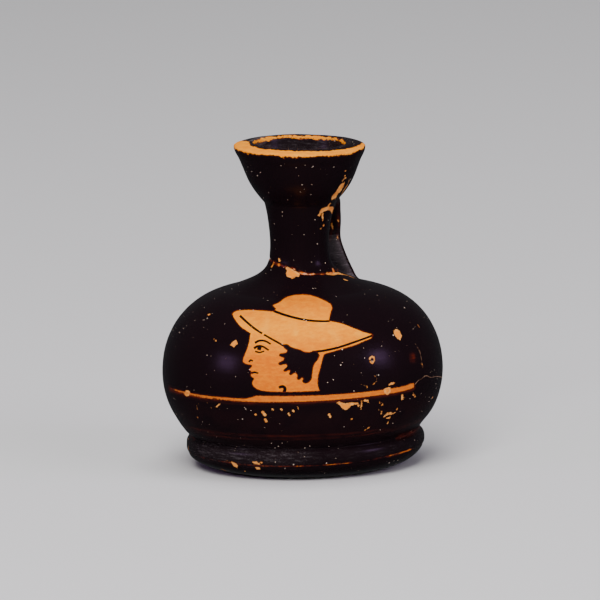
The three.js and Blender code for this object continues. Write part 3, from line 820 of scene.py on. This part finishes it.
# %% Dull dust, a pale grey band on the foot, thin slip and stains, with painted light on the strap and a painted reflection
# A pale grey band round the top of the foot, strongest on its left front
FOOT_GREY_HEIGHT, FOOT_GREY_SPREAD, FOOT_GREY_RADIUS, FOOT_GREY_TOP = 7.0, 2.2, 28.5, 10
on_foot_side = (reach > FOOT_GREY_RADIUS) * (height < FOOT_GREY_TOP)
dust_and_light = bell(height - FOOT_GREY_HEIGHT, FOOT_GREY_SPREAD) * on_foot_side
dust_and_light *= 0.2 + 0.8 * ramp(turn, 8, -12) * ramp(turn, -78, -58)
inside_mouth = over_lip & (reach < RIDGE_RADIUS + 1.2)
dust_and_light += inside_mouth * (0.7 + 0.7 * bell(turn + 112, 22))
dust_and_light += over_lip * (lip_run > 0) * 0.9 * bell(turn + 130, 22)
strap_middle = np.interp(height, strap_path[::-1, 1], strap_path[::-1, 0])
strap_inside = np.clip((strap_middle - 0.3 - upright[:, 1]) * 1.5, 0, 1)
# Partly painted light: the grey dust on the strap's inner face is made three times as strong, so that it looks lit
# where the lamps leave it in shade
dust_and_light += on_strap * ramp(height, 61, 56) * strap_inside * 3.0
thin_and_reflection = bell(band_bottom - height, 0.5) * on_wall
for level, strength in ((11.9, 0.3), (12.75, 0.45)):
    wander = level + 0.12 * np.sin(np.radians(turn * 2 + level * 40))
    strength = strength * (0.75 + 0.25 * np.sin(np.radians(turn * 9 + level * 70)))
    thin_and_reflection = np.maximum(thin_and_reflection, strength * bell(height - wander, 0.24) * on_wall)
strap_edge = on_strap * ramp(np.abs(upright[:, 0]), 4.9, 5.6)
thin_and_reflection = np.maximum(thin_and_reflection, strap_edge * 0.12)
THIN_STROKES = [[331.6, 221, 332.4, 231], [338.4, 216.6, 338.8, 225], [330.6, 233, 330, 241], [337, 235, 338.4, 240]]
for stroke in THIN_STROKES:
    gap = stroke_distance(view[on_strap], pairs(stroke), 12.0)
    thin_and_reflection[on_strap] = np.maximum(thin_and_reflection[on_strap], 0.6 * bell(gap, 1.1))
# A painted reflection: a small red spot on the belly's right, laid in with the thin slip's red
painted_red_reflection = on_flask(pairs([413, 357.7]))[0]
thin_and_reflection = np.maximum(thin_and_reflection, bell(np.linalg.norm(skin_points - painted_red_reflection, axis=1), 0.9))
lip_edge_near = over_lip * bell(lip_run - 5.2, 0.5)
resting_edge = bell(np.hypot(height, reach - RING_RADIUS), 0.7)
worn = np.maximum(np.maximum(strap_edge * 0.9, lip_edge_near), resting_edge)
chip_depth = np.maximum(chip_depth, NO_CHIP + WORN_RISE * worn)
print("dusty points:", int(np.sum(dust_and_light > 0.2)), "thin slip:", int(np.sum(thin_and_reflection > 0.3)))

# %% Sink the flakes and the bare picture into the skin
CHIP_SINK, SLIP_THICKNESS = 0.09, 0.025
sink = CHIP_SINK * ramp(chip_depth, 0, 0.35) + SLIP_THICKNESS * ramp(bare, 0, 0.15)
sunk = skin_points - sink[:, None] * read(flask.data.vertices, "normal")
flask.data.vertices.foreach_set("co", (sunk * MM).ravel())
flask.data.update()
print("sunk by up to", round(float(sink.max()), 3), "mm")


# %% Store these on the mesh
def store(name, values, kind="FLOAT"):
    """One number, or one vector, for each point of the skin."""
    field = flask.data.attributes.new(name, kind, "POINT")
    field.data.foreach_set("value" if kind == "FLOAT" else "vector", np.ascontiguousarray(values, np.float32).ravel())


store("bare_depth", np.clip(bare, -3, 3))
store("chip_depth", chip_depth)
store("dust_and_light", np.clip(dust_and_light, 0, 3))
store("thin_slip_and_reflection", np.clip(thin_and_reflection, 0, 1))
for name, places in brush_fields.items():
    store(name, places, "FLOAT_VECTOR")
print("fields:", [field.name for field in flask.data.attributes if not field.name.startswith(".")])

# %% [markdown]
# ## Shader sums as Python expressions
#
# A material is a small network. Writing it as sums keeps it readable, so one class wraps a socket
# and turns each operator into the node that does it.

# %% A socket that can be added, multiplied and compared
material = bpy.data.materials.new("slip_and_clay")
material.use_nodes = True
nodes, wires = material.node_tree.nodes, material.node_tree.links
nodes.clear()


class Value:
    """Wraps one output socket, and adds a Math node for each sum."""

    def __init__(self, socket):
        self.socket = socket

    @staticmethod
    def node(kind, output=0, settings=None, **inputs):
        """Adds a shader node: its settings first, then its sockets, by index (i0) or by name."""
        made = nodes.new("ShaderNode" + kind)
        for key, setting in (settings or {}).items():
            setattr(made, key, setting)
        for key, value in inputs.items():
            by_index = key[0] == "i" and key[1:].isdigit()
            socket = made.inputs[int(key[1:]) if by_index else key.replace("_", " ")]
            if isinstance(value, Value):
                wires.new(value.socket, socket)
            else:
                socket.default_value = value
        return Value(made.outputs[output])

    def out(self, key):
        """Another output of the same node."""
        return Value(self.socket.node.outputs[key])

    def math(self, operation, *others):
        """One Math node on this socket and the others."""
        inputs = {f"i{at}": value for at, value in enumerate((self, *others))}
        return Value.node("Math", 0, {"operation": operation}, **inputs)

    def __rsub__(self, other):
        return Value.node("Math", 0, {"operation": "SUBTRACT"}, i0=other, i1=self)

    def step(self, low, high):
        """0 below low, 1 above high, and a smooth rise between them."""
        return Value.node("MapRange", 0, {"interpolation_type": "SMOOTHSTEP"},
                          i0=self, i1=low, i2=high, i3=0.0, i4=1.0)

    def blend(self, low, high):
        """Mixes two numbers by this share."""
        return Value.node("Mix", 0, {"data_type": "FLOAT"}, i0=self, i2=low, i3=high)

    def tint(self, low, high):
        """Mixes two colours by this share."""
        return Value.node("Mix", 2, {"data_type": "RGBA"}, i0=self, i6=low, i7=high)


# The sign | gives whichever is greater, and & whichever is less
SIGNS = {"add": "ADD", "radd": "ADD", "mul": "MULTIPLY", "rmul": "MULTIPLY", "sub": "SUBTRACT", "truediv": "DIVIDE",
         "or": "MAXIMUM", "and": "MINIMUM"}
for sign, operation in SIGNS.items():
    setattr(Value, f"__{sign}__", functools.partialmethod(Value.math, operation))


def field(name):
    """A number stored on the skin."""
    return Value.node("Attribute", 2, {"attribute_name": name})


def layered(under, *layers):
    """Colours laid one over another, each mixed in by its own share."""
    for share, over in layers:
        under = share.tint(under, over)
    return under


print("sums for", ", ".join(SIGNS))

# %% Patterns over the skin, in millimetres
place = Value.node("VectorMath", 0, {"operation": "SCALE"},
                   i0=Value.node("TexCoord", 3), Scale=1 / MM)
high_up = Value.node("SeparateXYZ", 2, Vector=place)


def noise(scale, detail=2.0, stretch=None, rough=0.5):
    """Cloudy numbers from 0 to 1, about one cloud for each 1 / scale millimetres."""
    where = place if stretch is None else Value.node("Mapping", Vector=place, Scale=stretch)
    return Value.node("TexNoise", Vector=where, Scale=scale, Detail=detail, Roughness=rough)


def grains(scale):
    """Distance to the nearest of many scattered points, with a random colour for each point."""
    return Value.node("TexVoronoi", 0, {"feature": "F1"}, Vector=place, Scale=scale, Randomness=1.0)


def zone(start, full, fading, end):
    """1 between two heights: a rise from start to full less a rise from fading to end."""
    return high_up.step(start, full) - high_up.step(fading, end)


def colour(red, green, blue):
    """A colour as the eye sees it, 0 to 255, turned into the light it gives back."""
    shares = [v / 255 for v in (red, green, blue)]
    return tuple(((v + 0.055) / 1.055) ** 2.4 if v > 0.0404 else v / 12.92 for v in shares) + (1.0,)


print("clay gives back", [round(v, 3) for v in colour(222, 160, 95)])

# %% [markdown]
# ## Slip, clay and wear
#
# The slip is a skin a few hundredths of a millimetre thick: nearly black with a touch of violet,
# glossy, and redder where it is thin. The clay is a matt orange with faint brush marks, painted
# paler at the hat's brim and on the lip as painted light. The edge between them wavers as a brush
# does, and small flakes show the clay through the slip. A small red spot on the belly is a painted
# reflection, and the strap's inner face is painted grey partly in place of light.

# %% Where the clay shows
INK_SPREAD, LINE_END = 0.06, 0.1
edge_waver = (noise(2.2, 3.0) - 0.5) * 0.2 + (noise(9.0, 2.0) - 0.5) * 0.08
on_lip = high_up.step(80.0, 82.0)
torn = on_lip * ((noise(0.6, 5.0, rough=0.75) - 0.5) * 2.6 - 0.1 - noise(2.6, 2.0).step(0.66, 0.72) * 0.5)
torn = torn + zone(21.0, 22.0, 24.4, 25.0) * (noise(1.5, 4.0, rough=0.7) - 0.5) * 0.3
fringe = field("bare_depth") + edge_waver + torn


def line_depth(name, width_from, width_to, line_spread):
    """Depth inside a line: its half width at that place less the distance across, cut at both ends."""
    stored = Value.node("Attribute", 1, {"attribute_name": name})
    along_line = Value.node("SeparateXYZ", Vector=stored)
    length = brush_lengths[name]
    share = along_line / length & 1.0 | 0.0
    half_width = share.blend(width_from * MM_PER_PIXEL, width_to * MM_PER_PIXEL) + line_spread
    ends = (along_line & (length - along_line)) + LINE_END
    return (half_width - along_line.out(1).math("ABSOLUTE")) & ends


ink, cracks = (functools.reduce(Value.__or__, [line_depth(name, *widths, line_spread)
                                               for name, (line, *widths) in lines.items()])
               for lines, line_spread in ((BRUSH_LINES, INK_SPREAD), (CRACK_LINES, 0.0)))
depth = fringe & (-1.0 * (ink + edge_waver * 0.35))
chip_waver = (noise(1.9, 4.0, rough=0.7) - 0.5) * 0.7 + (noise(7.0, 2.0) - 0.5) * 0.25
chips = field("chip_depth") + chip_waver + 0.03
hairlines = (cracks + (noise(1.5, 2.0) - 0.55) * 0.2).step(-0.05, 0.05)
print("ink of", len(BRUSH_LINES), "lines")

# %% Tiny specks where grit has lifted the slip
SPECK_SHARE, HAIRLINE_SHARE = 0.85, 0.55
crowd = noise(0.09, 2.0).step(0.35, 0.65) * 0.3
spots = grains(0.75)
spot_lot = Value.node("SeparateColor", Color=spots.out("Color"))
spot_radius = (spot_lot - 0.72 + crowd) * 0.25
specks = (spot_radius - spots + (noise(7.0, 2.0) - 0.5) * 0.06).step(-0.015, 0.02)
grit = grains(1.15)
grit_lot = Value.node("SeparateColor", 1, Color=grit.out("Color"))
grit_radius = (grit_lot - 0.93 + crowd * 0.4) * 0.9 & 0.13
specks = specks | (grit_radius - grit).step(-0.02, 0.03) | hairlines * HAIRLINE_SHARE
chipped = chips.step(-0.05, 0.05)
bare_mask = depth.step(-0.035, 0.035)
clay_shows = (bare_mask | chipped) | specks * SPECK_SHARE
print("specks, chips and bare clay are one mask")

# %% Colour of the slip
SLIP, VIOLET_SLIP, WARM_SLIP = colour(18, 9, 13), colour(24, 12, 16), colour(31, 13, 15)
# The thin slip's red also paints a small reflection on the belly
THIN_SLIP_AND_REFLECTION, DUST_AND_LIGHT_GREY = colour(120, 38, 14), colour(138, 128, 132)
warm_part = zone(9.0, 12.0, 18.0, 22.0) * noise(0.2, 3.0).step(0.25, 0.6)
edge_thin = fringe.step(-0.34, -0.02) * (1.0 - fringe.step(-0.02, 0.1))
# The stored field holds thin slip and the painted red reflection
thin_run_and_reflection = field("thin_slip_and_reflection") * noise(0.9, 3.0, stretch=(0.3, 0.3, 1.5)).step(0.25, 0.75) * 0.6
thinned_and_reflection = edge_thin * noise(1.1, 2.0).step(0.25, 0.75) * 0.75 | thin_run_and_reflection
streaks = noise(0.9, 5.0, stretch=(0.35, 0.35, 2.2), rough=0.7)
grain = noise(3.4, 3.0, stretch=(0.7, 0.7, 1.3), rough=0.8)
# Grey of dust, which on the strap's inner face is also painted light
dust_and_light_share = field("dust_and_light")
grime_and_light = dust_and_light_share * (dust_and_light_share.step(0.9, 1.6) * 0.14 + 0.04 + streaks.step(0.5, 0.78) * 0.55
                 + grain.step(0.52, 0.72) * 0.5 * streaks.step(0.3, 0.6))
slip_colour = layered(SLIP, (noise(0.12, 3.0).step(0.35, 0.8) * 0.35, VIOLET_SLIP), (warm_part * 0.4, WARM_SLIP),
                      (thinned_and_reflection, THIN_SLIP_AND_REFLECTION), (grime_and_light * 0.5, DUST_AND_LIGHT_GREY))
print("slip, thin slip and dust")

# %% Colour of the clay
CLAY, DEEP_CLAY, PAINTED_LIGHT_CLAY = (0.96, 0.33, 0.003, 1.0), (0.64, 0.13, 0.0, 1.0), (1.0, 0.46, 0.04, 1.0)
CLAY_GRAIN, CLAY_EDGE, LIP_STAIN = (0.36, 0.1, 0.02, 1.0), (0.3, 0.06, 0.01, 1.0), (0.45, 0.14, 0.03, 1.0)
SEAM_FILL, BAND_SHADE, SPECK = (0.58, 0.34, 0.24, 1.0), (0.42, 0.09, 0.02, 1.0), (0.82, 0.68, 0.55, 1.0)
DARK_CHIP, PALE_CHIP, CHIP_HEART = (0.64, 0.21, 0.03, 1.0), (0.86, 0.38, 0.09, 1.0), (0.86, 0.25, 0.004, 1.0)
# Painted light: the clay is paler in a band at the height of the hat's brim and on the lip's flat top, and the deeper
# clay shows elsewhere
BRIM_HEIGHT, BRIM_REACH = 41.0, 7.5
brim_painted_light = 1.0 - ((high_up - BRIM_HEIGHT) / BRIM_REACH).math("ABSOLUTE") | 0.0
brushed = noise(0.55, 4.0, stretch=(1.0, 1.0, 2.6), rough=0.6).step(0.3, 0.75)
clay_colour = layered(DEEP_CLAY, (brim_painted_light * 0.6 + on_lip * 0.6 + brushed * 0.4, CLAY),
                      (noise(0.35, 3.0).step(0.45, 0.8) * (brim_painted_light + on_lip) * 0.5, PAINTED_LIGHT_CLAY),
                      (noise(5.0, 3.0).step(0.62, 0.8) * 0.3, CLAY_GRAIN))
chip_colour = layered(DARK_CHIP, (noise(0.8, 2.0).step(0.35, 0.7), PALE_CHIP), (chips.step(0.15, 0.5), CHIP_HEART))
unchipped = 1.0 - chipped
bare_only = bare_mask * unchipped
bare_edge = (1.0 - fringe.step(0.0, 0.18)) * bare_mask
lip_stain = high_up.step(82.0, 83.0) * noise(1.1, 4.0, rough=0.7).step(0.56, 0.74) * 0.4
seam_fill = zone(49.0, 50.0, 56.0, 57.0) * bare_only * noise(1.6, 3.0).step(0.4, 0.6)
band_shade = zone(21.8, 22.2, 24.3, 24.6) * bare_only * (noise(0.7, 3.0).step(0.3, 0.8) * 0.3 + 0.1)
bare_colour = layered(chip_colour, (specks * unchipped, SPECK), (bare_only, clay_colour), (bare_edge * 0.45, CLAY_EDGE),
                      (lip_stain * bare_mask, LIP_STAIN), (seam_fill * 0.6, SEAM_FILL), (band_shade, BAND_SHADE))
print("clay, chips and stains")

# %% Put the finish together
GLOSS_IOR, SLIP_ROUGHNESS, CLAY_ROUGHNESS = 1.22, 0.2, 0.68
gloss = grime_and_light * 0.35 + noise(0.5, 3.0) * 0.08 + SLIP_ROUGHNESS
relief = (1.0 - clay_shows) * 0.03 + noise(1.4, 4.0) * 0.012 + noise(0.25, 2.0) * 0.03
surface = Value.node("BsdfPrincipled", IOR=GLOSS_IOR,
                     Base_Color=clay_shows.tint(slip_colour, bare_colour),
                     Roughness=clay_shows.blend(gloss, CLAY_ROUGHNESS),
                     Normal=Value.node("Bump", Height=relief, Strength=0.6, Distance=MM))
output = nodes.new("ShaderNodeOutputMaterial")
wires.new(surface.socket, output.inputs[0])
flask.data.materials.clear()
flask.data.materials.append(material)
flask.name = "lekythos_vessel"
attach(flask, "root")
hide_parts("lekythos")
print("material of", len(nodes), "nodes")

# %% [markdown]
# ## Floor and light
#
# A wide pale floor fills the view, because the camera looks down on it. Two small soft boxes of
# violet light stand well to the sides and give the two gleams on the belly. Three large fills light
# the rest and don't show in the gloss.

# %% Floor
floor_line = np.array([(radius, 0.0) for radius in (ON_AXIS, 0.2, 0.6, 1.4, 3.0, 6.0)])
floor_grid = turned(floor_line, np.linspace(0, 2 * np.pi, 96, endpoint=False))
floor_mesh = bpy.data.meshes.new("floor")
floor_mesh.from_pydata(floor_grid.reshape(-1, 3).tolist(), [], grid_faces(*floor_grid.shape[:2])[:, ::-1].tolist())
floor = placed("floor", floor_mesh)
floor_paint = bpy.data.materials.new("floor_paint")
floor_paint.use_nodes = True
FLOOR_FINISH = {"Base Color": (0.68, 0.68, 0.69, 1), "Roughness": 0.9, "Specular IOR Level": 0.1}
for name, value in FLOOR_FINISH.items():
    floor_paint.node_tree.nodes["Principled BSDF"].inputs[name].default_value = value
floor_mesh.materials.append(floor_paint)
floor.visible_glossy = False
print("floor of", len(floor_mesh.polygons), "faces, no mirror image of it in the gloss")


# %% Lights
AIM_HEIGHT = 0.035


def soft_box(name, azimuth, rise, distance, width, tall, power, tone=(1, 1, 1), gleam=True):
    """A flat soft light at an angle round from the camera and up from the floor, aimed at the belly."""
    turn_to = VIEW_TURN + math.radians(azimuth)
    up_by = math.radians(rise)
    way = np.array((math.sin(turn_to) * math.cos(up_by), -math.cos(turn_to) * math.cos(up_by), math.sin(up_by)))
    side = np.array((math.cos(turn_to), math.sin(turn_to), 0.0))
    top = np.cross(way, side)
    lamp = bpy.data.lights.new(name, "AREA")
    lamp.shape, lamp.size, lamp.size_y = "RECTANGLE", width, tall
    lamp.energy, lamp.color = power, tone
    holder = placed(name, lamp)
    holder.matrix_world = stood(side, top, way, way * distance + np.array((0, 0, AIM_HEIGHT)))
    holder.visible_glossy = gleam


VIOLET, WARM_WHITE = (0.8, 0.44, 1.0), (1.0, 0.98, 0.95)
soft_box("left_box", -68, 19, 1.5, 0.36, 0.34, 2.35, VIOLET)
soft_box("right_box", 69, 19, 1.5, 0.36, 0.34, 2.8, VIOLET)
soft_box("front_fill", -14, 42, 2.2, 1.2, 1.2, 54.0, WARM_WHITE, gleam=False)
soft_box("side_fill", 50, 26, 2.2, 1.2, 1.2, 16.0, gleam=False)
soft_box("top_fill", 0, 88, 2.2, 1.6, 1.6, 32.0, gleam=False)
sky = bpy.data.worlds.new("studio")
sky.use_nodes = True
sky.node_tree.nodes["Background"].inputs[0].default_value = (0.9, 0.92, 1.0, 1)
sky.node_tree.nodes["Background"].inputs[1].default_value = 0.06
bpy.context.scene.world = sky
